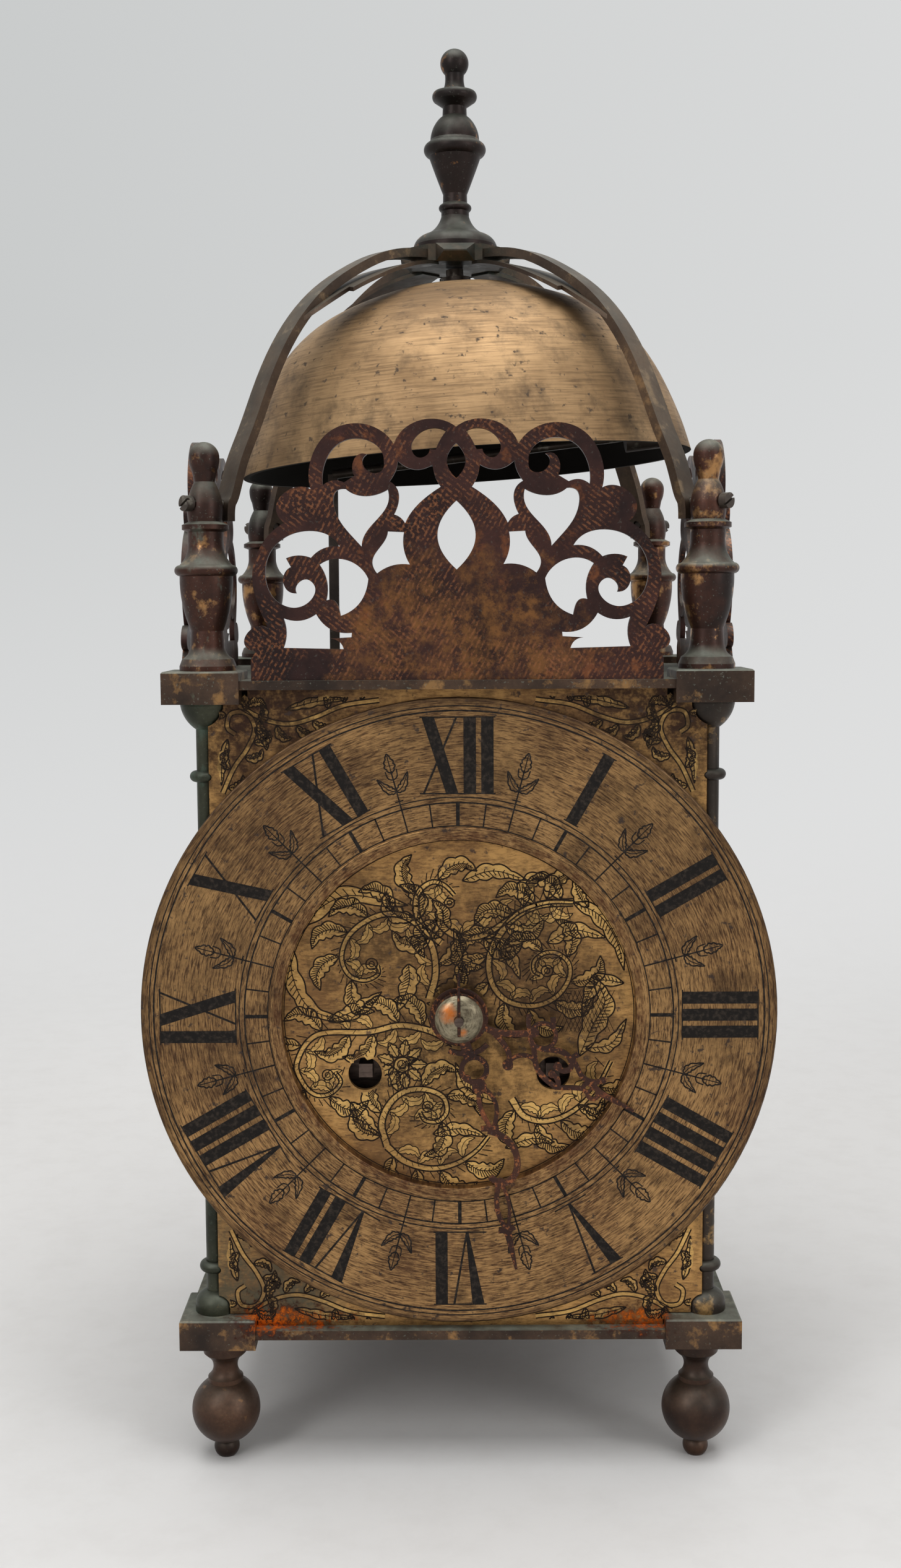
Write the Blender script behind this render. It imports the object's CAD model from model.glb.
import math

import bpy
import numpy as np
from mathutils import Matrix, Vector


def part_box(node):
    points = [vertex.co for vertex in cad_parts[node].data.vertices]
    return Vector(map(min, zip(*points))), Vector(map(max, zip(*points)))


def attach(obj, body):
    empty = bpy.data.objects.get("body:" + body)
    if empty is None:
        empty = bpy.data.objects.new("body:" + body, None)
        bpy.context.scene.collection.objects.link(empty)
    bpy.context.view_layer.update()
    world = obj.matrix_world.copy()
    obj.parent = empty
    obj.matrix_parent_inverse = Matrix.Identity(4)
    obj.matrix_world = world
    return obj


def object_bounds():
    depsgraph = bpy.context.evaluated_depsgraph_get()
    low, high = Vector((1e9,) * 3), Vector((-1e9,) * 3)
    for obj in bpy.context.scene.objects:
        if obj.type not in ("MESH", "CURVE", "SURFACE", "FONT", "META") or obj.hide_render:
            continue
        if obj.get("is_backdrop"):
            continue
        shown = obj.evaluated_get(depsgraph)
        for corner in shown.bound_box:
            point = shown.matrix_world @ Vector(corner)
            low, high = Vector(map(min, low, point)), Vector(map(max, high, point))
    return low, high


# An old brass lantern clock on a pale table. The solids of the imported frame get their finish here,
# and the dial gets its numerals and its engraving. Metres; the dial faces -Y.
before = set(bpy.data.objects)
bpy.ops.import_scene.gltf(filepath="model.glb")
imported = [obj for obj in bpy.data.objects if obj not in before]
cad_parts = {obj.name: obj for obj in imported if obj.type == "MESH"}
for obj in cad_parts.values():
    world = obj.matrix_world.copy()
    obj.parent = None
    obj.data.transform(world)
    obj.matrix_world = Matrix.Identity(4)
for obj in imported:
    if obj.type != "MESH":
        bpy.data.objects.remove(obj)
cad_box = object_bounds()
bpy.context.scene.view_settings.view_transform = "Standard"

# ---- camera -----------------------------------------------------------------------------------
# The photograph was taken half a metre in front of the dial and a little above it, looking down.
# Place, angles and focal length are those of a pinhole camera fitted to the clock's corners.
photo_height_px = 2533
focal_length_px = 2783.3
camera_place = (0.00025, -0.51015, 0.2273)
camera_pitch, camera_yaw, camera_roll = 0.1008, -0.0048, -0.0053
camera_data = bpy.data.cameras.new("camera")
camera_data.sensor_width = 36.0
camera_data.lens = camera_data.sensor_width * focal_length_px / photo_height_px
camera = bpy.data.objects.new("camera", camera_data)
bpy.context.scene.collection.objects.link(camera)
bpy.context.scene.camera = camera
look = Vector(
    (
        math.sin(camera_yaw) * math.cos(camera_pitch),
        math.cos(camera_yaw) * math.cos(camera_pitch),
        -math.sin(camera_pitch),
    )
)
level = Vector((math.cos(camera_yaw), -math.sin(camera_yaw), 0.0))
level_up = level.cross(look)
right = level * math.cos(camera_roll) + level_up * math.sin(camera_roll)
up = level_up * math.cos(camera_roll) - level * math.sin(camera_roll)
axes = Matrix((right, up, -look)).transposed().to_4x4()
camera.matrix_world = Matrix.Translation(camera_place) @ axes

# ---- feet, base plate and pillars -------------------------------------------------------------
# Cast and turned brass, long unpolished: brown skin, brassy where it has rubbed, verdigris in
# the damp places and dust on what faces up.


def rgb(code):
    """Linear colour of a six-digit hex code: each channel c is ((c + 0.055) / 1.055) to the power
    2.4, or c / 12.92 near black."""
    parts = np.array([int(code[i : i + 2], 16) for i in (0, 2, 4)]) / 255.0
    linear = np.where(parts <= 0.04045, parts / 12.92, ((parts + 0.055) / 1.055) ** 2.4)
    return (*linear.tolist(), 1.0)


def add_node(tree, kind, links=None, **settings):
    """Adds a shader node. Settings name its attributes, links its inputs, each by name or number:
    a value is set and a socket is joined."""
    item = tree.nodes.new(kind)
    for name, value in settings.items():
        setattr(item, name, value)
    for name, value in (links or {}).items():
        if isinstance(value, bpy.types.NodeSocket):
            tree.links.new(value, item.inputs[name])
        else:
            item.inputs[name].default_value = value
    return item


def object_place(tree):
    """Place on the piece, in metres."""
    return add_node(tree, "ShaderNodeTexCoord").outputs["Object"]


def noise(tree, place, scale, detail, rough):
    """Cloudy 0 to 1 pattern over a place vector, scale waves to the metre."""
    links = {"Vector": place, "Scale": scale, "Detail": detail, "Roughness": rough}
    return add_node(tree, "ShaderNodeTexNoise", links).outputs["Fac"]


def stretched(tree, place, scale, turn=(0.0, 0.0, 0.0)):
    """Place vector scaled by axis after a turn, so that a pattern runs in streaks."""
    links = {"Vector": place, "Scale": scale, "Rotation": turn}
    return add_node(tree, "ShaderNodeMapping", links, vector_type="TEXTURE").outputs[0]


def ramp(tree, value, low, high, to_low=0.0, to_high=1.0):
    """Value taken from low..high to a clamped to_low..to_high."""
    links = {"Value": value, 1: low, 2: high, 3: to_low, 4: to_high}
    return add_node(tree, "ShaderNodeMapRange", links, clamp=True).outputs[0]


def blend(tree, amount, first, second):
    """Two colours mixed: first times (1 - amount) plus second times the amount."""
    links = {0: amount, 6: first, 7: second}
    item = add_node(tree, "ShaderNodeMix", links, data_type="RGBA", clamp_factor=True)
    return item.outputs[2]


def sums(tree, kind, first, second):
    """Arithmetic of two values: ADD, MULTIPLY, MAXIMUM and so on."""
    return add_node(tree, "ShaderNodeMath", {0: first, 1: second}, operation=kind).outputs[0]


def times(tree, first, second):
    """Product of two values."""
    return sums(tree, "MULTIPLY", first, second)


def plus(tree, first, second):
    """Sum of two values."""
    return sums(tree, "ADD", first, second)


def vectors(tree, kind, *parts):
    """Arithmetic of vectors. ADD and the like give a vector, DISTANCE and its kin a value."""
    item = add_node(tree, "ShaderNodeVectorMath", dict(enumerate(parts)), operation=kind)
    return item.outputs["Value" if kind in ("DISTANCE", "LENGTH", "DOT_PRODUCT") else "Vector"]


def new_group(name, colours, values, vectors_in=()):
    """Shader node group with named inputs, which puts out Color, Roughness, Metallic and Height.
    Returns the tree, its inputs and its output node."""
    tree = bpy.data.node_groups.new(name, "ShaderNodeTree")
    kinds = (("Color", colours), ("Float", values), ("Vector", vectors_in))
    wanted = [("INPUT", word, kind) for kind, words in kinds for word in words]
    wanted.append(("OUTPUT", "Color", "Color"))
    wanted += [("OUTPUT", word, "Float") for word in ("Roughness", "Metallic", "Height")]
    for direction, word, kind in wanted:
        tree.interface.new_socket(name=word, in_out=direction, socket_type=f"NodeSocket{kind}")
    entry = tree.nodes.new("NodeGroupInput")
    leave = tree.nodes.new("NodeGroupOutput")
    return tree, entry.outputs, leave


def give_out(tree, leave, **sockets):
    """Leads sockets to the outputs of a group."""
    for socket_name, socket in sockets.items():
        tree.links.new(socket, leave.inputs[socket_name])


def patina_group():
    """Old brass: bare metal in patches of a brown skin, verdigris, dust on top and fine pits. Each
    layer is a cloud above a threshold, which its amount moves, laid over the layers before."""
    tree, given, leave = new_group(
        "patina",
        colours=("Metal", "Skin", "Dark", "Verdigris"),
        values=("Worn", "Green", "Dust", "Grain"),
    )
    cloud_scale, patch_scale, damp_scale = 55.0, 190.0, 80.0
    pit_scale, speck_scale = 1100.0, 1500.0
    dust_colour = rgb("6F7468")
    place = object_place(tree)
    broad = noise(tree, place, cloud_scale, 5.0, 0.6)
    patch = noise(tree, place, patch_scale, 6.0, 0.65)
    fine = noise(tree, place, pit_scale, 4.0, 0.7)
    mixed = plus(tree, times(tree, patch, 0.62), times(tree, broad, 0.38))
    edge = sums(tree, "SUBTRACT", 0.86, times(tree, given["Worn"], 0.62))
    bare = ramp(tree, sums(tree, "SUBTRACT", mixed, edge), -0.03, 0.05)
    skin = blend(tree, ramp(tree, broad, 0.35, 0.65), given["Dark"], given["Skin"])
    skin = blend(tree, ramp(tree, fine, 0.3, 0.75, 0.0, 0.5), skin, given["Dark"])
    colour = blend(tree, bare, skin, given["Metal"])
    damp = noise(tree, stretched(tree, place, (1.0, 1.0, 1.6)), damp_scale, 6.0, 0.7)
    green_edge = sums(tree, "SUBTRACT", 0.82, times(tree, given["Green"], 0.5))
    green = ramp(tree, sums(tree, "SUBTRACT", damp, green_edge), -0.04, 0.1)
    colour = blend(tree, times(tree, green, 0.8), colour, given["Verdigris"])
    normal = add_node(tree, "ShaderNodeNewGeometry").outputs["Normal"]
    upward = add_node(tree, "ShaderNodeSeparateXYZ", {0: normal}).outputs["Z"]
    dust = times(tree, ramp(tree, upward, 0.1, 0.75), ramp(tree, patch, 0.3, 0.6, 0.35))
    speck = ramp(tree, noise(tree, place, speck_scale, 2.0, 0.5), 0.66, 0.7, 0.0, 0.5)
    dust = times(tree, sums(tree, "MAXIMUM", dust, speck), given["Dust"])
    colour = blend(tree, dust, colour, dust_colour)
    uneven = ramp(tree, patch, 0.35, 0.65, -0.5, 0.5)
    rough = ramp(tree, plus(tree, bare, uneven), -0.5, 1.2, 0.5, 0.28)
    rough = plus(tree, rough, times(tree, green, 0.25))
    rough = plus(tree, rough, times(tree, dust, 0.3))
    metal = ramp(tree, bare, 0.0, 1.0, 0.7, 0.9)
    metal = times(tree, metal, ramp(tree, plus(tree, green, dust), 0.0, 1.0, 1.0, 0.1))
    height = plus(tree, times(tree, fine, given["Grain"]), times(tree, bare, -0.25))
    give_out(tree, leave, Color=colour, Roughness=rough, Metallic=metal, Height=height)
    return tree


patina = patina_group()


def new_material(name, **sockets):
    """Material with a Principled shader whose sockets are set; returns material, tree, shader."""
    material = bpy.data.materials.new(name)
    material.use_nodes = True
    tree = material.node_tree
    shader = tree.nodes["Principled BSDF"]
    for socket_name, value in sockets.items():
        shader.inputs[socket_name.replace("_", " ")].default_value = value
    return material, tree, shader


def join(tree, shader, source, bump=0.15):
    """Leads the outputs of an effect into a shader, its height by way of a bump."""
    bump_depth = 0.0002
    links = {"Strength": bump, "Distance": bump_depth, "Height": source.outputs["Height"]}
    relief = add_node(tree, "ShaderNodeBump", links)
    tree.links.new(source.outputs["Color"], shader.inputs["Base Color"])
    tree.links.new(source.outputs["Roughness"], shader.inputs["Roughness"])
    tree.links.new(source.outputs["Metallic"], shader.inputs["Metallic"])
    tree.links.new(relief.outputs["Normal"], shader.inputs["Normal"])


def old_brass(
    name, metal, skin, dark, verdigris="5E7A62", worn=0.4, green=0.2, dust=0.3, grain=0.6
):
    """Material of one brass casting: the patina with its own colours and amounts."""
    material, tree, shader = new_material(name)
    links = {
        "Metal": rgb(metal),
        "Skin": rgb(skin),
        "Dark": rgb(dark),
        "Verdigris": rgb(verdigris),
        "Worn": worn,
        "Green": green,
        "Dust": dust,
        "Grain": grain,
    }
    join(tree, shader, add_node(tree, "ShaderNodeGroup", links, node_tree=patina))
    return material


def painted(material):
    """What a further layer of colour needs: the tree, the place vector, the shader's colour
    socket and the colour that leads into it."""
    tree = material.node_tree
    socket = tree.nodes["Principled BSDF"].inputs["Base Color"]
    return tree, object_place(tree), socket, socket.links[0].from_socket


def stained(material, tint, strength, *stains, ragged=2.4, grain=160.0, thin=0.45):
    """Clouds a material's colour around places, each given as x, y, z and a radius. A stain falls
    off with the distance over the radius plus a cloud; thin is the share that is left of it where
    it is rubbed through."""
    tree, place, socket, colour = painted(material)
    cloud = times(tree, noise(tree, place, grain, 6.0, 0.7), ragged)
    broken = ramp(tree, noise(tree, place, 3.0 * grain, 4.0, 0.7), 0.38, 0.56, thin)
    low = 0.5 * ragged + 0.3
    for *spot, radius in stains:
        away = vectors(tree, "DISTANCE", place, spot)
        reach = plus(tree, sums(tree, "DIVIDE", away, radius), cloud)
        amount = times(tree, ramp(tree, reach, low, low + 1.0, strength, 0.0), broken)
        colour = blend(tree, amount, colour, rgb(tint))
    tree.links.new(colour, socket)
    return material


def dress(material, *names):
    """Gives a material to CAD nodes."""
    for node_name in names:
        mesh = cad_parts[node_name].data
        mesh.materials.clear()
        mesh.materials.append(material)


corners = ("front_left", "front_right", "rear_left", "rear_right")
dress(
    old_brass("foot brass", "A07448", "5C4232", "2C1F19", worn=0.36, green=0.08, dust=0.15),
    *(f"foot_{corner}" for corner in corners),
)
plate_brass = old_brass(
    "plate brass", "96724A", "5A4536", "2C231E", "65735C", worn=0.48, green=0.24, dust=0.85
)
mm = 0.001
seam_face, seam_height = -0.0705, 0.0402
rust_spots = (
    (-56, 2.6), (-53, 3.0), (-49.5, 2.7), (-46, 2.4), (-42, 2.2), (-38, 2.0), (-33, 1.6),
    (-28, 1.2), (35, 1.3), (40, 1.8), (44, 2.2), (48, 2.4), (52, 2.6),
)
corner_rust = [(mm * x, seam_face, seam_height, mm * radius) for x, radius in rust_spots]


def rusted(material):
    """Orange rust with a dark edge along the seam between the dial and the base plate."""
    wide = [(*spot[:3], 1.7 * spot[3]) for spot in corner_rust]
    stained(material, "34150C", 0.95, *wide, ragged=5.0, grain=420.0)
    return stained(material, "D66A14", 0.9, *corner_rust, ragged=4.0, grain=420.0, thin=0.0)


dress(rusted(plate_brass), "base_plate", "top_plate")
green_pillar = old_brass(
    "left pillar brass", "7A6A48", "454637", "25281F", "43594A", worn=0.34, green=0.5
)
brown_pillar = old_brass(
    "right pillar brass", "9A7A4E", "453A31", "28231F", worn=0.46, green=0.25
)
dress(green_pillar, "pillar_front_left", "pillar_rear_left")
dress(brown_pillar, "pillar_front_right", "pillar_rear_right")

# ---- finials ----------------------------------------------------------------------------------
# Cast and turned urns, screwed on the top plate's blocks, and the taller one on the bell frame's
# hub. They are the darkest brass of the clock, with some dust on their shoulders.
dress(
    old_brass(
        "finial brass", "A67C50", "563326", "241A17", "59695C", worn=0.47, green=0.34, dust=0.75
    ),
    *(f"corner_finial_{corner}" for corner in corners),
)
dress(
    old_brass(
        "crown brass", "A87444", "322420", "171311", "59695C", worn=0.41, green=0.2, dust=0.4
    ),
    "crown_finial",
)

# ---- bell and its frame -----------------------------------------------------------------------
# The bell is spun bell metal, brushed round; the frame is cast and filed, with green-black hub
# and leaves; steel screws hold it to the finials.


def brushed_group():
    """Brushed metal: its tone is the mean of streaks, a noise over the stretched place vector
    Along, and a cloud. Dark lines, blotches and spots are laid over it."""
    tree, given, leave = new_group(
        "brushed",
        colours=("Light", "Base", "Dark"),
        values=("Spots", "Streaks", "Dull"),
        vectors_in=("Along",),
    )
    cloud_scale, blotch_scale, spot_scale = 38.0, 95.0, 420.0
    place = object_place(tree)
    streak = noise(tree, given["Along"], 1.0, 5.0, 0.7)
    cloud = noise(tree, place, cloud_scale, 5.0, 0.6)
    speck = noise(tree, place, spot_scale, 3.0, 0.6)
    tone = plus(tree, times(tree, streak, given["Streaks"]), cloud)
    tone = sums(tree, "DIVIDE", tone, plus(tree, given["Streaks"], 1.0))
    colour = blend(tree, ramp(tree, tone, 0.42, 0.58), given["Base"], given["Light"])
    line_share = sums(tree, "MINIMUM", given["Streaks"], 1.0)
    lines = times(tree, ramp(tree, streak, 0.34, 0.5, 0.75, 0.0), line_share)
    colour = blend(tree, lines, colour, given["Dark"])
    blotch = ramp(tree, noise(tree, place, blotch_scale, 6.0, 0.7), 0.5, 0.68, 0.0, 0.6)
    colour = blend(tree, blotch, colour, given["Dark"])
    spotted = times(tree, ramp(tree, speck, 0.62, 0.7), given["Spots"])
    colour = blend(tree, spotted, colour, given["Dark"])
    rough = plus(tree, ramp(tree, tone, 0.35, 0.65, 0.46, 0.34), times(tree, spotted, 0.25))
    rough = plus(tree, rough, given["Dull"])
    metal = sums(tree, "SUBTRACT", 0.8, times(tree, spotted, 0.5))
    give_out(tree, leave, Color=colour, Roughness=rough, Metallic=metal, Height=streak)
    return tree


brushed = brushed_group()


def brushed_along(name, light, base, dark, spots, streaks, lay, bump=0.1, dull=0.0):
    """Material of brushed metal. Lay takes its tree and gives the stretched place vector."""
    material, tree, shader = new_material(name)
    links = {
        "Light": rgb(light),
        "Base": rgb(base),
        "Dark": rgb(dark),
        "Spots": spots,
        "Streaks": streaks,
        "Dull": dull,
        "Along": lay(tree),
    }
    join(tree, shader, add_node(tree, "ShaderNodeGroup", links, node_tree=brushed), bump)
    return material


def brushed_metal(
    name, light, base, dark, spots, streaks, scale, turn=(0.0, 0.0, 0.0), dull=0.0
):
    """Material brushed in straight streaks: scale is how far a streak runs along each axis."""

    def lay(tree):
        return stretched(tree, object_place(tree), scale, turn)

    return brushed_along(name, light, base, dark, spots, streaks, lay, dull=dull)


bell_low, bell_high = (Vector(corner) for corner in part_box("bell"))
bell_middle = ((bell_low.x + bell_high.x) / 2, (bell_low.y + bell_high.y) / 2, bell_low.z)
bell_turn = (0.0, math.radians(-3.4), 0.0)
bell_streak = (0.014, 0.014, 0.0005)
bell_metal = brushed_metal(
    "bell metal", "A98A64", "866B4C", "4A3C2F", 0.9, 0.5, bell_streak, bell_turn, dull=0.16
)


def dark_inside(material, middle, tint):
    """Darkens the walls that face the middle of a hollow shell, where the normal and the way from
    the middle have a dot product below zero."""
    tree = material.node_tree
    shader = tree.nodes["Principled BSDF"]
    geometry = add_node(tree, "ShaderNodeNewGeometry").outputs
    from_middle = vectors(tree, "SUBTRACT", geometry["Position"], middle)
    facing = vectors(tree, "DOT_PRODUCT", geometry["Normal"], from_middle)
    inside = ramp(tree, facing, -0.004, 0.0, 1.0, 0.0)
    black, white = (0.0, 0.0, 0.0, 1.0), (1.0, 1.0, 1.0, 1.0)
    for name, value in (("Base Color", rgb(tint)), ("Metallic", black), ("Roughness", white)):
        source = shader.inputs[name].links[0].from_socket
        tree.links.new(blend(tree, inside, source, value), shader.inputs[name])
    return material


dress(dark_inside(bell_metal, bell_middle, "1E1A16"), "bell")
frame_metal = old_brass("frame metal", "92795C", "6C5846", "40342C", worn=0.44, green=0.16)
hub_drop, hub_stain = 0.004, 0.022
hub = (0.0, 0.0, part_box("bell_frame")[1][2] - hub_drop)
dress(stained(frame_metal, "26302A", 0.95, (*hub, hub_stain), thin=0.8), "bell_frame")
steel = old_brass("screw steel", "8A8378", "5B5048", "3A332E", worn=0.45, green=0.0, dust=0.2)
dress(steel, "bell_frame_screws", "bell_standoff", "plate_screws", "hammer")

# ---- frets ------------------------------------------------------------------------------------
# Sawn brass sheet, chemically browned: dark red-brown with brass showing through in patches, and
# the leaves engraved with hatching.


def hatched(material, pitch, tint):
    """Rubbed edges of engraved strokes: a wave across the sheet for each of two slants, seen where
    a cloud and a fine noise both let it through, so that it breaks up into short bent dashes."""
    tree, place, socket, colour = painted(material)
    dash_scale, patch_scale = 850.0, 75.0
    wavy = {"Scale": 0.32, "Distortion": 3.0, "Detail": 2.0, "Detail Scale": 0.35}
    dashes = ramp(tree, noise(tree, place, dash_scale, 3.0, 0.6), 0.47, 0.56)
    parts = add_node(tree, "ShaderNodeSeparateXYZ", {0: place}).outputs
    sideways = plus(tree, parts["X"], parts["Y"])
    sheet = add_node(tree, "ShaderNodeCombineXYZ", {"X": sideways, "Z": parts["Z"]}).outputs[0]
    for slant, seed in ((0.5, 0.0), (-0.9, 3.0)):
        bent = stretched(tree, sheet, (pitch, 1.0, pitch), (0.0, slant, 0.0))
        wave = add_node(tree, "ShaderNodeTexWave", {"Vector": bent, **wavy}).outputs["Fac"]
        moved = vectors(tree, "ADD", place, (seed, 0.0, seed))
        patch = ramp(tree, noise(tree, moved, patch_scale, 2.0, 0.4), 0.51, 0.6, 0.0, 0.45)
        lines = times(tree, ramp(tree, wave, 0.45, 0.75), patch)
        colour = blend(tree, times(tree, lines, dashes), colour, rgb(tint))
    tree.links.new(colour, socket)
    return material


def on_face(face, spots):
    """Stains on an upright face: x, z and a radius in millimetres made x, y, z and a radius."""
    return [(mm * x, face, mm * z, mm * radius) for x, z, radius in spots]


fret_brass = old_brass(
    "fret brass", "7A4C34", "482C26", "241716", worn=0.43, green=0.0, grain=1.0
)
fret_face, stroke_pitch = -0.073, 0.0012
rubbed = on_face(fret_face, ((0, 222, 17), (20, 219, 12), (-21, 216, 11)))
stained(fret_brass, "85592F", 0.6, *rubbed, ragged=5.0, grain=130.0, thin=0.1)
dress(hatched(fret_brass, stroke_pitch, "96603E"), "front_fret", "left_fret", "right_fret")

# ---- dial plate and chapter ring --------------------------------------------------------------
# An engraved brass sheet on four posts, and on it the chapter ring, which is brushed round. Both
# have gone dark in places: round the hands, under the top plate and in the lower left corner.
plate_streak = (0.0022, 0.02, 0.0005)
dial_brass = brushed_metal("dial brass", "BE9258", "805E3A", "3E2C20", 0.9, 0.5, plate_streak)
dial_height, dial_face = 0.1226, -0.0695
tarnish = on_face(
    dial_face, ((0, 122.6, 16), (25, 121, 18), (12, 146, 14), (-26, 143, 14), (-12, 105, 12))
)
stained(dial_brass, "40301F", 0.6, *tarnish)
cut_back = on_face(dial_face, ((-16, 132, 24), (19, 130, 24), (0, 101, 23)))
stained(dial_brass, "3A2A1C", 0.55, *cut_back, thin=0.3)
upper_corners = on_face(dial_face, [(x, 203, 26) for x in (-60, -45, 45, 60)])
lower_corners = on_face(dial_face, ((-60, 47, 24), (-45, 42, 14)))


def grimy(material, upper, lower):
    """Brown grime under the top plate and grey grime in the lower left corner of the dial."""
    stained(material, "2E1D16", upper, *upper_corners)
    stained(material, "4C4A3C", lower, *lower_corners)
    return rusted(material)


dress(grimy(dial_brass, 0.85, 0.75), "dial_plate")


def dial_spoke(tree):
    """Vector from the dial's axis to a place, and its length."""
    flat = vectors(tree, "MULTIPLY", object_place(tree), (1.0, 0.0, 1.0))
    spoke = vectors(tree, "SUBTRACT", flat, (0.0, 0.0, dial_height))
    return spoke, vectors(tree, "LENGTH", spoke)


def brushed_round(name, light, base, dark, spots, streaks, along, across):
    """Material brushed in circles about the dial's axis, with streaks as long and wide as along
    and across say: the unit spoke times brushed_radius / along, plus radius / across as its y."""
    brushed_radius = 0.07

    def lay(tree):
        spoke, radius = dial_spoke(tree)
        heading = vectors(tree, "NORMALIZE", spoke)
        turned = vectors(tree, "MULTIPLY", heading, (brushed_radius / along,) * 3)
        rings = add_node(tree, "ShaderNodeCombineXYZ", {"Y": sums(tree, "DIVIDE", radius, across)})
        return vectors(tree, "ADD", turned, rings.outputs[0])

    return brushed_along(name, light, base, dark, spots, streaks, lay, bump=0.12)


def rimmed(material, inner_rim, outer_rim):
    """Rust freckles on the chapter ring's inner edge and grime on its outer one. Each is a ramp
    over the distance from the dial's axis."""
    tree, place, socket, colour = painted(material)
    radius = dial_spoke(tree)[1]
    freckled = ramp(tree, noise(tree, place, 330.0, 5.0, 0.7), 0.4, 0.62)
    inner = times(tree, ramp(tree, radius, *inner_rim, 0.7, 0.0), freckled)
    colour = blend(tree, inner, colour, rgb("4A2A1A"))
    outer = ramp(tree, radius, *outer_rim, 0.0, 0.6)
    tree.links.new(blend(tree, outer, colour, rgb("33241B")), socket)
    return material


streak_length, streak_width = 0.0032, 0.00035
ring_brass = brushed_round(
    "chapter brass", "AA8455", "674A31", "281A12", 0.9, 2.2, streak_length, streak_width
)
chapter_face = -0.0719
ring_grime = on_face(
    chapter_face,
    ((-68, 130, 26), (-52, 168, 26), (0, 193, 26), (52, 166, 26), (70, 118, 18), (-60, 105, 14)),
)
stained(ring_brass, "33241A", 0.42, *ring_grime)
dress(rimmed(ring_brass, (0.0478, 0.0486), (0.0803, 0.0822)), "chapter_ring")

# ---- numerals and track -----------------------------------------------------------------------
# Roman numerals with their feet to the centre, a quarter-hour track inside them and a sprig at
# each half hour, cut into the ring and filled with black wax.
proud = 0.00004


def on_dial(points, clock_angle):
    """Places given as right and outward at a clock angle a, in millimetres from the dial's centre:
    x is right cos a + outward sin a, and z is outward cos a - right sin a."""
    right_way, outward = np.asarray(points, float).T
    turn = math.radians(clock_angle)
    return np.stack(
        (
            right_way * math.cos(turn) + outward * math.sin(turn),
            outward * math.cos(turn) - right_way * math.sin(turn),
        ),
        axis=1,
    )


def smooth(points, steps=8):
    """Catmull-Rom curve through its points: with t from 0 to 1 between p1 and p2, half of 2 p1 +
    (p2 - p0) t + (2 p0 - 5 p1 + 4 p2 - p3) t^2 + (3 p1 - 3 p2 + p3 - p0) t^3."""
    points = np.asarray(points, float)
    padded = np.vstack((2 * points[0] - points[1], points, 2 * points[-1] - points[-2]))
    share = np.linspace(0.0, 1.0, steps, endpoint=False)[:, None]
    spans = []
    for p0, p1, p2, p3 in zip(padded, padded[1:], padded[2:], padded[3:]):
        cubic = (3 * (p1 - p2) + p3 - p0) * share**3 + (2 * p0 - 5 * p1 + 4 * p2 - p3) * share**2
        spans.append(0.5 * (cubic + (p2 - p0) * share + 2 * p1))
    return np.vstack((*spans, points[-1:]))


def directions(points):
    """Unit directions along a line, from the differences of neighbouring points."""
    along = np.gradient(points, axis=0)
    return along / np.maximum(np.linalg.norm(along, axis=1, keepdims=True), 1e-9)


def normals(points):
    """Unit left normals along a line: each direction (x, z) turned to (-z, x)."""
    along = directions(points)
    return np.stack((-along[:, 1], along[:, 0]), axis=1)


def strip(left, right_side):
    """Flat quads between two lines, corner by corner, anticlockwise as seen from the front."""
    return np.stack((left[:-1], right_side[:-1], right_side[1:], left[1:]), axis=1)


def ribbon(points, width):
    """Flat quads along a line: its points plus and minus half the width times their normals."""
    points = np.asarray(points, float)
    reach = normals(points) * width / 2
    return strip(points + reach, points - reach)


def circle(radius, width, middle=(0.0, 0.0)):
    """Ring line as quads: the middle plus the radius times (cos t, sin t), t once round."""
    turn = np.linspace(0.0, 2 * math.pi, 181)
    return ribbon(middle + radius * np.stack((np.cos(turn), np.sin(turn)), axis=1), width)


def comb(line, reach, every, width=0.26):
    """Short strokes that leave a line and lean along it: each tip is the foot plus the reach there
    plus 0.7 of the reach's length along the line."""
    tips = line + reach + 0.7 * np.linalg.norm(reach, axis=1, keepdims=True) * directions(line)
    return [ribbon([line[index], tips[index]], width) for index in range(2, len(line) - 2, every)]


def leaf_shape(spine, width):
    """Midrib of a pointed leaf with lobes, and how far its edge is from it: half the width times
    sin(pi s^0.8) times 0.8 + 0.32 |sin(4 pi s)|, with s from 0 at the foot to 1 at the tip."""
    line = smooth(spine, 14)
    share = np.linspace(0.0, 1.0, len(line))[:, None]
    lobes = 0.8 + 0.32 * np.abs(np.sin(share * math.pi * 4))
    return line, normals(line) * width / 2 * np.sin(math.pi * share**0.8) * lobes


def leaf(spine, width, strokes=0, cut=0.4):
    """Outline and midrib of a leaf, one half of it shaded with strokes."""
    line, side = leaf_shape(spine, width)
    midrib = line[: int(0.9 * len(line))]
    quads = [ribbon(line + side, cut), ribbon(line - side, cut), ribbon(midrib, 0.65 * cut)]
    if strokes:
        quads += comb(line, -0.75 * side, strokes) + comb(line, 0.35 * side, 2 * strokes)
    return quads


def leaf_body(spine, width):
    """Surface of a leaf inside its outline."""
    line, side = leaf_shape(spine, width)
    return strip(line + side, line - side)


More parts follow.
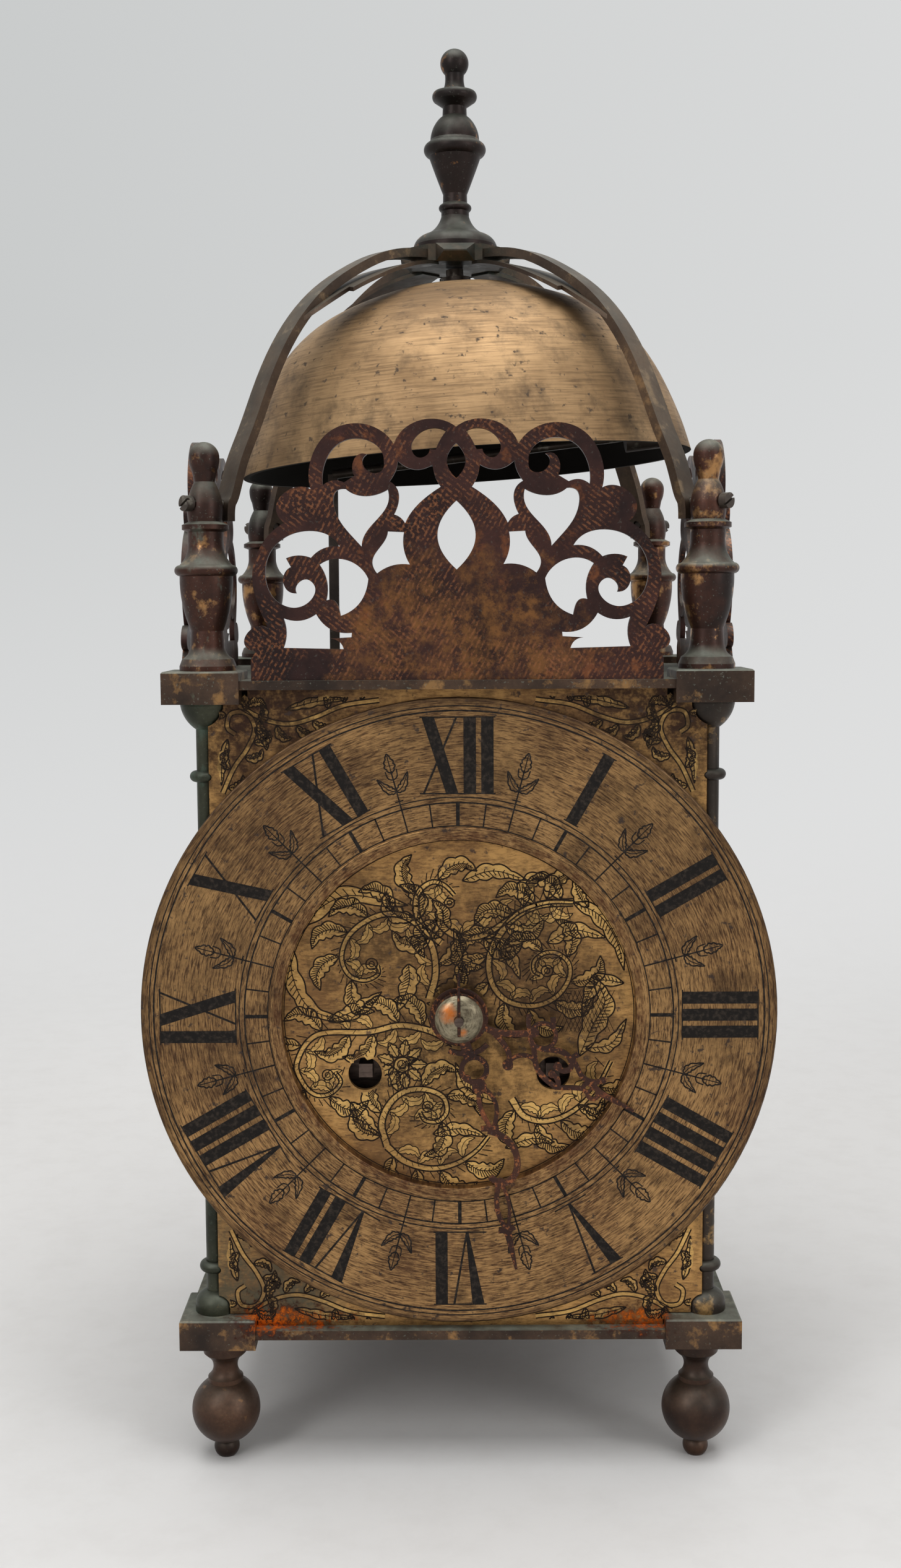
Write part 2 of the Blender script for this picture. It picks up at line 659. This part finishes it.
def engraving(name, quads, face, material, keep=None, level=proud):
    """Lines cut in a sheet and filled: flat quads just proud of it, where keep allows them. They
    lie in layers a micrometre apart, by turns, so that lines cross cleanly."""
    layers, layer_gap = 12, 0.000001
    corners_xz = np.vstack(quads)
    if keep:
        corners_xz = corners_xz[keep(corners_xz.mean(axis=1))]
    flat = corners_xz.reshape(-1, 2) * mm
    depth = face - level - np.arange(len(flat)) // 4 % layers * layer_gap
    points = np.stack((flat[:, 0], depth, flat[:, 1] + dial_height), axis=1)
    mesh = bpy.data.meshes.new(name)
    mesh.from_pydata(points.tolist(), [], np.arange(len(points)).reshape(-1, 4).tolist())
    item = bpy.data.objects.new(name, mesh)
    bpy.context.scene.collection.objects.link(item)
    mesh.materials.append(material)
    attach(item, "case")


def wax(name, dark, light):
    """Old filling wax, crazed and a little uneven: a fine cloud of the light colour on the dark."""
    material, tree, shader = new_material(name, Roughness=0.8, Specular_IOR_Level=0.15)
    worn = ramp(tree, noise(tree, object_place(tree), 900.0, 5.0, 0.7), 0.48, 0.72, 0.0, 0.8)
    tree.links.new(blend(tree, worn, rgb(dark), rgb(light)), shader.inputs["Base Color"])
    return material


bar_width, glyph_gap, foot_radius, head_radius = 3.2, 1.3, 57.9, 77.5
glyph_widths = {"I": bar_width, "V": 8.4, "X": 9.4}
glyph_strokes = {
    "I": (((0.0, 0.0), (bar_width, 0.0), (bar_width, 1.0), (0.0, 1.0)),),
    "V": (
        ((4.2, 0.0), (5.0, 0.0), (bar_width, 1.0), (0.0, 1.0)),
        ((4.4, 0.0), (4.9, 0.0), (8.3, 1.0), (7.7, 1.0)),
    ),
    "X": (
        ((6.2, 0.0), (9.4, 0.0), (bar_width, 1.0), (0.0, 1.0)),
        ((0.2, 0.0), (0.8, 0.0), (9.2, 1.0), (8.6, 1.0)),
    ),
}


def numeral(letters, clock_angle):
    """One numeral: strokes side by side, with a hairline over their heads and under their feet."""
    total = sum(glyph_widths[letter] + glyph_gap for letter in letters) - glyph_gap
    at = -total / 2
    quads = []
    for letter in letters:
        for stroke in glyph_strokes[letter]:
            outline = [(at + x, foot_radius + y * (head_radius - foot_radius)) for x, y in stroke]
            quads.append(on_dial(outline, clock_angle)[None])
        at += glyph_widths[letter] + glyph_gap
    overhang, hairline = 0.5, 0.36
    reach = total / 2 + overhang
    for radius in (foot_radius, head_radius):
        quads.append(ribbon(on_dial([(-reach, radius), (reach, radius)], clock_angle), hairline))
    return quads


ring_lines = (
    (46.6, 0.35), (47.6, 0.25), (48.5, 0.4), (49.6, 0.3),
    (55.6, 0.4), (57.0, 0.3), (79.2, 0.4), (80.4, 0.3),
)
chapter_quads = [circle(radius, width) for radius, width in ring_lines]
sprig = [ribbon([(0.0, 55.6), (0.0, 66.0)], 0.38), ribbon([(-1.1, 57.9), (1.1, 57.9)], 0.36)]
sprig += leaf([(0.0, 65.4), (0.0, 67.8), (0.0, 70.6)], 2.6)
for side in (-1, 1):
    sprig += leaf([(0.0, 60.4), (side * 2.0, 61.6), (side * 4.1, 64.8)], 1.9)
    sprig.append(ribbon(smooth([(0.0, 63.6), (side * 1.2, 64.3), (side * 1.5, 66.2)], 5), 0.34))
numerals = ("XII", "I", "II", "III", "IIII", "V", "VI", "VII", "VIII", "IX", "X", "XI")
hour_turn, quarter_turn = 30.0, 7.5
track_inner, track_outer = 49.5, 55.7
for hour, letters in enumerate(numerals):
    chapter_quads += numeral(letters, hour_turn * hour)
    for quarter, mark_width in enumerate((0.95, 0.4, 0.4, 0.4)):
        mark_angle = hour_turn * hour + quarter_turn * quarter
        mark = on_dial([(0.0, track_inner), (0.0, track_outer)], mark_angle)
        chapter_quads.append(ribbon(mark, mark_width))
    half_hour = hour_turn * (hour + 0.5)
    chapter_quads += [on_dial(quad.reshape(-1, 2), half_hour).reshape(-1, 4, 2) for quad in sprig]
black_wax = wax("black wax", "1A1715", "443B33")
engraving("numerals", chapter_quads, chapter_face, black_wax)

# ---- engraving of the dial plate --------------------------------------------------------------
# Scrolling stems with acanthus leaves inside the chapter ring, a shell left of the middle and a
# leaf spray in each corner. Every line is one to three tenths wide, and black with age.
ring_inner, ring_outer, collet_radius = 46.4, 82.0, 8.0
sheet_half = (61.0, 82.6)
hole_radius = 5.0
dial_holes = np.array([(24.6, -15.9), (-24.6, -15.9)])
scrolls = (
    [(29.7, 29.2), (21.7, 28.7), (15.7, 26.2), (11.7, 22.2), (8.7, 17.2), (7.8, 12.5), (9, 7.2),
     (12.3, 3.5), (17, 2), (21.7, 2.4), (26, 4.9), (28.7, 9.2), (28.6, 13.2), (25.7, 15.8),
     (22.4, 15.9), (19.7, 13.9), (19.6, 11.2), (21.4, 10.1)],
    [(-7.7, 3.9), (-6, 10.5), (-6.7, 17.2), (-9.7, 22.6), (-14.4, 25.9), (-19.7, 26.2), (-25, 23.9),
     (-29, 19.9), (-30.4, 14.6), (-28.4, 10.2), (-24.4, 8.9), (-21, 10.5), (-21, 12.9)],
    [(-4.3, 18.6), (-9, 22.6), (-11, 27.2), (-10.3, 31.9), (-7, 34.6), (-3.7, 33.9), (-1, 31.2)],
    [(-5, 27.2), (-4.3, 23.2), (0.3, 20.2), (6.3, 20.6), (11.7, 23.9), (16.4, 27.2), (23, 29.2),
     (29.7, 29.2)],
    [(-1.3, -8.1), (-4.3, -6.1), (-9, -4.1), (-15.7, -3.1), (-23.7, -4.8), (-37, -5.5),
     (-42.4, -12.8), (-41, -18.2), (-37.7, -21.5), (-33.7, -21.2), (-31, -18.2), (-32.4, -15.5)],
    [(-19, -35.5), (-20.4, -29.5), (-18.4, -24.2), (-14.4, -20.8), (-9, -20.2), (-4.3, -22.2),
     (-3.3, -26.2), (-5.7, -28.8), (-9, -28.5), (-10.3, -26.2)],
    [(-19, -35.5), (-14.4, -39.5), (-7.7, -41.5), (-1, -40.2), (4.3, -36.8), (7.7, -32.8)],
    [(13.7, -22.8), (17, -27.5), (23, -28.8), (29.7, -26.2), (35.7, -20.2), (39.7, -12.8)],
)
buds = (
    (23, 11.2, 1.5), (-22.6, 13.2, 1.5), (-2.3, 29.2, 1.3), (-34.4, -16.2, 1.4), (-8.3, -24.8, 1.4),
)
dial_leaves = (
    ([(29.7, 29.2), (36.4, 25.9), (41, 19.2), (43, 11.2)], 4.5),
    ([(33.7, 27.9), (31, 31.2), (30, 35.9)], 3.2),
    ([(23, 18.6), (29.7, 21.9), (38.4, 19.9)], 4.5),
    ([(43, 7.9), (37, 8.6), (34, 5.2), (32, -1)], 4.0),
    ([(31.4, -11.5), (35, -3), (38, 3), (35, 10)], 6.0),
    ([(33, -9.5), (39.7, -8.1), (43.7, -1.5)], 3.5),
    ([(-13, 28.6), (-28.4, 31.2), (-38.4, 25.9), (-43, 19.2)], 5.0),
    ([(-43.7, 18.6), (-43, 9.2), (-38.4, 1.2), (-28.4, -2.1)], 4.5),
    ([(-34, -2), (-26, 1.5), (-20, 5.9)], 4.0),
    ([(-13, 13.2), (-13, 7.9), (-16, 0.5)], 5.0),
    ([(-28.4, -23.5), (-25, -28.2), (-20.4, -33)], 4.0),
    ([(-7, -32.2), (0, -30.8), (7, -32.8)], 3.5),
    ([(9.5, 20), (13.5, 15), (16, 9)], 3.6),
    ([(1, 35), (9, 37.5), (18, 35)], 4.0),
    ([(10, -24), (2, -20), (-1, -13)], 3.6),
    ([(31, -24.5), (36, -27), (38, -22)], 3.0),
    ([(12, -36), (19, -33.5), (25, -34.5)], 3.4),
)
leaf_strokes = 2
frond_every, frond_length = 6.4, 9.2
inner_every, inner_length = 6.5, 5.6
frond_width, inner_width = 0.46 * frond_length, 0.45 * inner_length


def distances(line):
    """How far along a line each of its points is."""
    return np.concatenate(([0.0], np.cumsum(np.linalg.norm(np.diff(line, axis=0), axis=1))))


def outer_side(line):
    """Unit vectors to the outer side of a bent line, which are its left normals, turned round
    where it bends to the left; and its directions."""
    sideways, along = normals(line), directions(line)
    bend = np.sum(along * np.gradient(sideways, axis=0), axis=1)
    return sideways * np.where(bend > 0, 1.0, -1.0)[:, None], along


def shading(line):
    """Strokes along both sides of a stem, longer and shorter by turns as (1 + sin(2 pi d / e)) / 2
    goes up and down, where d is the distance along it and e is frond_every."""
    outer = outer_side(line)[0]
    swell = 0.5 + 0.5 * np.sin(2 * math.pi * distances(line) / frond_every)[:, None]
    quads = comb(line + 0.9 * outer, (0.5 + 1.9 * swell) * outer, 2)
    return quads + comb(line - 0.8 * outer, (0.4 + 0.8 * swell) * outer, 2, 0.16)


def frond_spines(line, every=frond_every, length=frond_length, way=1):
    """Spines of leaves along the outer side of a stem, or its inner side where way is -1. Each
    starts a little off the stem and takes four steps out and along, as shares of its length."""
    gone = distances(line)
    outer, along = outer_side(line)
    off_stem = 0.7
    steps = ((0.0, 0.0), (0.42, 0.22), (0.62, 0.6), (0.5, 1.0))
    for distance in np.arange(0.4 * every, gone[-1] - 0.7 * every, every):
        index = int(np.searchsorted(gone, distance))
        foot, outward, onward = line[index], way * outer[index], length * along[index]
        yield [foot + (off_stem + up * length) * outward + lean * onward for up, lean in steps]


def add_leaf(lines, bodies, spine, width, strokes=0, cut=0.4):
    """Adds a leaf's cut lines to the one list and its bright surface to the other."""
    lines += leaf(spine, width, strokes, cut)
    bodies.append(leaf_body(spine, width))


dial_quads = [circle(45.6, 0.25), circle(46.3, 0.7)]
leaf_quads = []
stem_width, stem_reach, stem_cut, inner_cut = 1.7, 0.95, 0.42, 0.26
for stem in scrolls:
    line = smooth(stem)
    taper = np.linspace(1.0, 0.45, len(line))[:, None]
    leaf_quads.append(ribbon(line, stem_width))
    for way in (-1, 1):
        dial_quads.append(ribbon(line + way * normals(line) * stem_reach * taper, stem_cut))
    dial_quads += shading(line)
    for spine in frond_spines(line):
        add_leaf(dial_quads, leaf_quads, spine, frond_width, leaf_strokes)
    for spine in frond_spines(line, inner_every, inner_length, -1):
        add_leaf(dial_quads, leaf_quads, spine, inner_width, cut=inner_cut)
for x, z, radius in buds:
    dial_quads += [circle(radius, 0.34, (x, z)), circle(0.45 * radius, 0.3, (x, z))]
for spine, width in dial_leaves:
    add_leaf(dial_quads, leaf_quads, spine, width, leaf_strokes)
shell_x, shell_z, petals, petal_width = -15, -13.5, 9, 2.6
for petal in range(petals):
    turn = 2 * math.pi * petal / petals
    spoke = [(shell_x + r * math.cos(turn), shell_z + r * math.sin(turn)) for r in (2.2, 4.6, 6.8)]
    add_leaf(dial_quads, leaf_quads, spoke, petal_width)
for radius, cut in ((2.1, 0.34), (1.1, 0.3)):
    dial_quads.append(circle(radius, cut, (shell_x, shell_z)))
ground_x, ground_z, ground_pitch, ground_half, ground_cut = 24.5, 0.5, 1.1, 5.5, 0.16
for step in range(11):
    for lean in (-1, 1):
        x, rise = ground_x + ground_pitch * step, ground_half * lean
        stroke = [(x, ground_z - rise), (x + 5.0, ground_z + rise)]
        dial_quads.append(ribbon(stroke, ground_cut))
corner_stems = (
    [(60.5, 58), (57.5, 64.5), (54.0, 69.5), (52.0, 74.5), (54.0, 78.5), (58.0, 78.5),
     (59.0, 75.0), (57.0, 73.2)],
    [(56.0, 80.5), (49.5, 77.0), (43.0, 75.8), (36.5, 77.5), (29.0, 80.5), (20.0, 81.8)],
)
corner_leaves = (
    [(59.0, 72), (60.5, 66), (60.8, 60)],
    [(52, 75), (49.5, 72), (49, 69)],
    [(44, 79.5), (36, 81.5), (28, 82.2)],
)
corner_strokes, corner_every, corner_length = 3, 4.4, 4.6
corner_lines, corner_bodies = [], []
for stem in corner_stems:
    line = smooth(stem)
    corner_lines += [ribbon(line + way * normals(line) * 0.6, 0.34) for way in (-1, 1)]
    corner_bodies.append(ribbon(line, 1.1))
    for spine in frond_spines(line, corner_every, corner_length):
        add_leaf(corner_lines, corner_bodies, spine, 2.3, corner_strokes)
for spine in corner_leaves:
    add_leaf(corner_lines, corner_bodies, spine, 2.4, corner_strokes)
# A mirrored quad takes its corners in reverse order, so that it still faces the front.
for side, way in ((-1, -1), (-1, 1), (1, -1), (1, 1)):
    dial_quads += [quad[:, :: side * way] * (side, way) for quad in corner_lines]
    leaf_quads += [quad[:, :: side * way] * (side, way) for quad in corner_bodies]


def on_dial_plate(at):
    """Lines stay clear of the holes, the collet, the chapter ring and the pillars."""
    radius = np.linalg.norm(at, axis=1)
    clear = np.ones(len(at), bool)
    for hole in dial_holes:
        clear &= np.linalg.norm(at - hole, axis=1) > hole_radius
    seen = (radius < ring_inner) & (radius > collet_radius) | (radius > ring_outer)
    return clear & seen & (np.abs(at) < sheet_half).all(axis=1)


cut_lines = wax("cut lines", "1C140E", "3E2D1D")
leaf_brass = brushed_metal("leaf brass", "D8AE68", "A8824C", "5A4430", 0.9, 0.5, plate_streak)
grimy(stained(leaf_brass, "40301F", 0.5, *tarnish), 0.7, 0.25)
engraving("dial_leaves", leaf_quads, dial_face, leaf_brass, on_dial_plate, proud / 2)
engraving("dial_engraving", dial_quads, dial_face, cut_lines, on_dial_plate)

# ---- doors and rear panel ---------------------------------------------------------------------
# Plain brass sheets, dark with age: the two side doors, which swing on upright hinges, the panel
# that closes the rear, and the seat under the movement.
dress(
    old_brass("sheet brass", "86704A", "5E4C38", "40352B", worn=0.34, green=0.24),
    "left_door",
    "right_door",
    "rear_panel",
    "movement_seat",
)

# ---- hands ------------------------------------------------------------------------------------
# Pierced steel, rusted. A domed collet and a thin pin through the end of the cannon pipe hold
# them in front of the dial.


def flecked(material, tint, scale, low):
    """Small flecks of another colour all over a material, where a noise is above a threshold."""
    tree, place, socket, colour = painted(material)
    fleck = ramp(tree, noise(tree, place, scale, 4.0, 0.7), low, low + 0.06, 0.0, 0.7)
    tree.links.new(blend(tree, fleck, colour, rgb(tint)), socket)
    return material


rusted_steel = old_brass(
    "rusted steel", "8A5238", "4E3025", "281A17", worn=0.4, green=0.0, dust=0.2, grain=1.0
)
dress(flecked(rusted_steel, "A0623A", 800.0, 0.55), "hour_hand", "minute_hand", "hand_pin")
collet = brushed_round("collet steel", "948A72", "625A48", "3E3226", 0.6, 0.9, 0.03, 0.0006)
collet_face = -0.078
collet_rust = on_face(collet_face, ((-3, 124.5, 2.6), (1, 119.5, 1.2)))
dress(stained(collet, "C46A22", 0.9, *collet_rust), "hand_collet")

# ---- movement ---------------------------------------------------------------------------------
# Two brass plates on four pillars hold the going train and the striking train between them:
# lacquered brass wheels on steel arbors, with blued springs.
dress(
    brushed_metal("movement brass", "D2B676", "B3924F", "7A6036", 0.3, 1.0, (0.004, 0.02, 0.0008)),
    "movement_front_plate",
    "movement_rear_plate",
    "movement_pillars",
    "going_barrel",
    "strike_barrel",
    "centre_wheel",
    "third_wheel",
    "escape_wheel",
    "balance_wheel",
    "balance_cock",
    "minute_wheel",
    "hour_wheel",
    "strike_second_wheel",
    "strike_pin_wheel",
    "strike_fly",
    "dial_posts",
)
dress(
    brushed_metal("arbor steel", "5E5048", "423630", "2A2320", 0.3, 0.8, (0.01, 0.01, 0.001)),
    "going_winding_arbor",
    "strike_winding_arbor",
    "going_click",
    "strike_click",
    "click_springs",
    "pallet_lever",
    "cannon_pinion",
)
dress(
    brushed_metal("spring steel", "5E6A86", "454F6A", "2E3448", 0.2, 0.8, (0.01, 0.01, 0.001)),
    "going_mainspring",
    "strike_mainspring",
    "hairspring",
)

# ---- table, backdrop and lamps ----------------------------------------------------------------
# A pale table top and a light grey backdrop in one sweep, under a wide soft lamp, with a tall
# soft lamp on either side of the camera.


def sweep_mesh(name, half_width, front, wall, radius, height):
    """Floor that curves up into a wall, drawn across. Its profile is the front edge, a quarter
    circle of wall - radius + radius sin t deep and radius - radius cos t high, and the top."""
    turn = np.linspace(0.0, math.pi / 2, 24)
    depth = np.concatenate(([front], wall - radius + radius * np.sin(turn), [wall]))
    rise = np.concatenate(([0.0], radius - radius * np.cos(turn), [height]))
    across = np.array([-half_width, half_width])
    points = np.stack(
        (
            np.repeat(across, len(depth)),
            np.tile(depth, 2),
            np.tile(rise, 2),
        ),
        axis=1,
    )
    count = len(depth)
    start = np.arange(count - 1)
    faces = np.stack((start, start + count, start + count + 1, start + 1), axis=1)
    mesh = bpy.data.meshes.new(name)
    mesh.from_pydata(points.tolist(), [], faces.tolist())
    mesh.shade_smooth()
    item = bpy.data.objects.new(name, mesh)
    bpy.context.scene.collection.objects.link(item)
    return item


def seen_as_background(tree):
    """One where the background itself is looked at, straight or in a reflection, and zero for the
    light it gives: the largest of the camera, glossy and transmission rays."""
    path = add_node(tree, "ShaderNodeLightPath").outputs
    mirrored = sums(tree, "MAXIMUM", path["Is Glossy Ray"], path["Is Transmission Ray"])
    return sums(tree, "MAXIMUM", path["Is Camera Ray"], mirrored)


def stage_material(name):
    """Pale floor that takes shadows; the wall and the far floor have a plain shade of their own,
    ramps over how far back and how far from the clock a place is."""
    material, tree, shader = new_material(name, Roughness=0.7, Specular_IOR_Level=0.2)
    place = object_place(tree)
    parts = add_node(tree, "ShaderNodeSeparateXYZ", {0: place}).outputs
    mottle = noise(tree, place, 60.0, 6.0, 0.7)
    table = blend(tree, ramp(tree, mottle, 0.45, 0.75, 0.0, 0.4), rgb("DFDEDC"), rgb("D3D1CE"))
    tree.links.new(table, shader.inputs["Base Color"])
    shade = blend(tree, ramp(tree, parts["X"], -0.45, 0.45), rgb("C8CACA"), rgb("DADBDB"))
    shade = blend(tree, ramp(tree, parts["Z"], 0.0, 0.45, 0.7, 0.0), shade, rgb("E4E4E4"))
    plain = add_node(tree, "ShaderNodeEmission", {"Color": shade}).outputs[0]
    away = vectors(tree, "LENGTH", place)
    far = sums(tree, "MAXIMUM", ramp(tree, parts["Y"], 0.25, 0.75), ramp(tree, away, 0.8, 1.6))
    wall = times(tree, far, seen_as_background(tree))
    mixed = add_node(tree, "ShaderNodeMixShader", {0: wall, 1: shader.outputs[0], 2: plain})
    tree.links.new(mixed.outputs[0], tree.nodes["Material Output"].inputs["Surface"])
    return material


backdrop = sweep_mesh("backdrop", half_width=6.0, front=-6.0, wall=0.95, radius=0.45, height=3.0)
backdrop.data.materials.append(stage_material("pale paper"))
backdrop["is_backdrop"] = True


def lamp(name, place, target, size, power):
    """Rectangular soft lamp aimed at a point."""
    data = bpy.data.lights.new(name, "AREA")
    data.shape = "RECTANGLE"
    data.size, data.size_y = size
    data.energy = power
    item = bpy.data.objects.new(name, data)
    bpy.context.scene.collection.objects.link(item)
    aim = Vector(target) - Vector(place)
    turned = aim.to_track_quat("-Z", "Y").to_matrix().to_4x4()
    item.matrix_world = Matrix.Translation(place) @ turned


clock_middle = (0.0, 0.0, 0.2)
wide_lamp, tall_lamp = (1.2, 1.2), (0.4, 0.8)
lamp("overhead", (0.0, -0.2, 1.5), clock_middle, wide_lamp, 16.0)
lamp("front left", (-0.8, -1.1, 0.9), clock_middle, tall_lamp, 5.5)
lamp("front right", (1.0, -0.9, 0.6), clock_middle, tall_lamp, 3.6)
world = bpy.data.worlds.new("room")
bpy.context.scene.world = world
world.use_nodes = True
room = world.node_tree
room_light = room.nodes["Background"]
room_light.inputs["Color"].default_value = rgb("D8D8DA")
room_light.inputs["Strength"].default_value = 0.45
room_look = add_node(room, "ShaderNodeBackground", {"Color": rgb("D4D5D5"), "Strength": 1.0})
looks = {0: seen_as_background(room), 1: room_light.outputs[0], 2: room_look.outputs[0]}
mixed = add_node(room, "ShaderNodeMixShader", looks)
room.links.new(mixed.outputs[0], room.nodes["World Output"].inputs["Surface"])

sizes = {"cad": cad_box, "scene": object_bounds()}
{key: [list(map(float, corner)) for corner in box] for key, box in sizes.items()}
